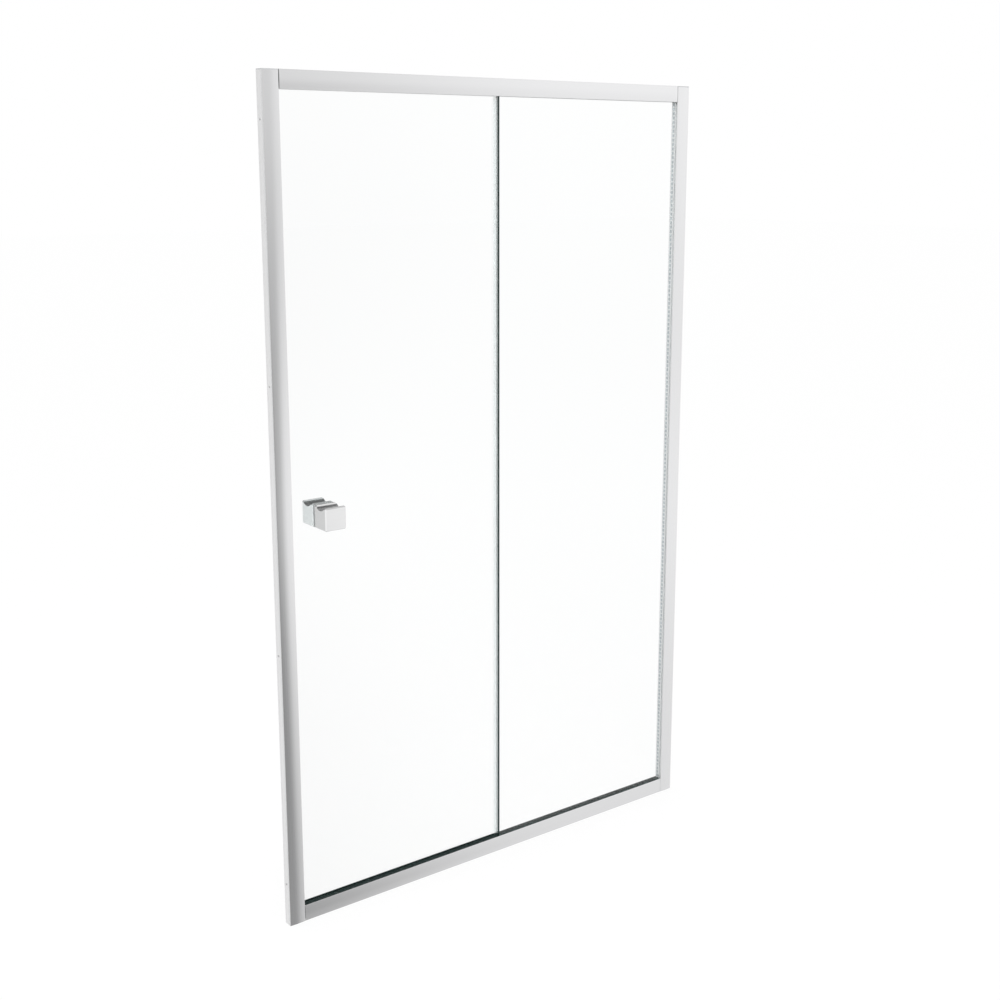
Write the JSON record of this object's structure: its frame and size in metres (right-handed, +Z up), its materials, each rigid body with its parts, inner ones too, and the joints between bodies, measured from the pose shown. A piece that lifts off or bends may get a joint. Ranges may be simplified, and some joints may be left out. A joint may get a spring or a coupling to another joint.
{
  "type": "sliding shower door",
  "caption": "Framed niche shower door: a clear glass panel with square knobs slides on hidden rollers behind a fixed glass panel in a slim aluminium frame.",
  "frame": {"origin": "middle of the sill rail's underside, at half the frame's depth", "axes": "+X to the fixed panel's side as seen from outside, +Y into the shower, +Z up"},
  "size_m": [1.2, 0.106, 1.9],
  "materials": {
    "frame_aluminium": "bright anodised, satin",
    "clear_glass": "clear toughened, polished edges",
    "black_rubber": "matt black",
    "clear_pvc": "translucent soft plastic",
    "magnet_seal": "soft plastic with a magnetic core",
    "grey_plastic": "moulded, fine texture",
    "white_nylon": "moulded nylon",
    "steel": "stainless",
    "handle_metal": "satin chrome"
  },
  "bodies": {
    "frame": {"left_wall_channel": "frame_aluminium", "right_wall_channel": "frame_aluminium", "left_jamb": "frame_aluminium", "right_jamb": "frame_aluminium", "left_jamb_cap": "grey_plastic", "right_jamb_cap": "grey_plastic", "head_rail": "frame_aluminium", "sill_rail": "frame_aluminium", "sill_liner": "black_rubber", "corner_screws": "steel", "jamb_screws": "steel", "jamb_screw_caps": "grey_plastic", "fixed_glass": "clear_glass", "head_gasket": "clear_pvc", "sill_gasket": "black_rubber", "jamb_gasket": "clear_pvc", "setting_blocks": "black_rubber", "head_infill": "frame_aluminium", "sill_infill": "black_rubber", "left_jamb_infill": "frame_aluminium", "right_jamb_strip": "clear_pvc", "strike_seal": "magnet_seal", "left_track_stop": "black_rubber", "right_track_stop": "black_rubber"},
    "door": {"door_glass": "clear_glass", "top_carrier": "frame_aluminium", "carrier_screws": "steel", "left_hanger": "steel", "right_hanger": "steel", "left_axle": "steel", "right_axle": "steel", "leading_seal": "magnet_seal", "trailing_seal": "clear_pvc", "left_guide_shoe": "white_nylon", "right_guide_shoe": "white_nylon", "outer_handle": "handle_metal", "inner_handle": "handle_metal", "handle_stud": "steel", "handle_bush": "white_nylon", "handle_washers": "clear_pvc", "handle_grub_screws": "steel"},
    "left_front_wheel_body": {"left_front_wheel": "white_nylon"},
    "left_rear_wheel_body": {"left_rear_wheel": "white_nylon"},
    "right_front_wheel_body": {"right_front_wheel": "white_nylon"},
    "right_rear_wheel_body": {"right_rear_wheel": "white_nylon"}
  },
  "joints": [
    {"name": "door_slide", "type": "slide", "parent": "frame", "child": "door", "axis": [1, 0, 0], "range_m": [0, 0.43]},
    {"name": "left_front_wheel_spin", "type": "hinge", "parent": "door", "child": "left_front_wheel_body", "pos_m": [-0.4698, 0.0056, 1.8877], "axis": [0, 1, 0], "continuous": true},
    {"name": "left_rear_wheel_spin", "type": "hinge", "parent": "door", "child": "left_rear_wheel_body", "pos_m": [-0.4698, 0.0056, 1.8877], "axis": [0, 1, 0], "continuous": true},
    {"name": "right_front_wheel_spin", "type": "hinge", "parent": "door", "child": "right_front_wheel_body", "pos_m": [-0.091, 0.0056, 1.8877], "axis": [0, 1, 0], "continuous": true},
    {"name": "right_rear_wheel_spin", "type": "hinge", "parent": "door", "child": "right_rear_wheel_body", "pos_m": [-0.091, 0.0056, 1.8877], "axis": [0, 1, 0], "continuous": true}
  ],
  "couplings": [
    {"joint": "left_front_wheel_spin", "follows": "door_slide", "rad_per_m": 142.86},
    {"joint": "left_rear_wheel_spin", "follows": "door_slide", "rad_per_m": 142.86},
    {"joint": "right_front_wheel_spin", "follows": "door_slide", "rad_per_m": 142.86},
    {"joint": "right_rear_wheel_spin", "follows": "door_slide", "rad_per_m": 142.86}
  ]
}
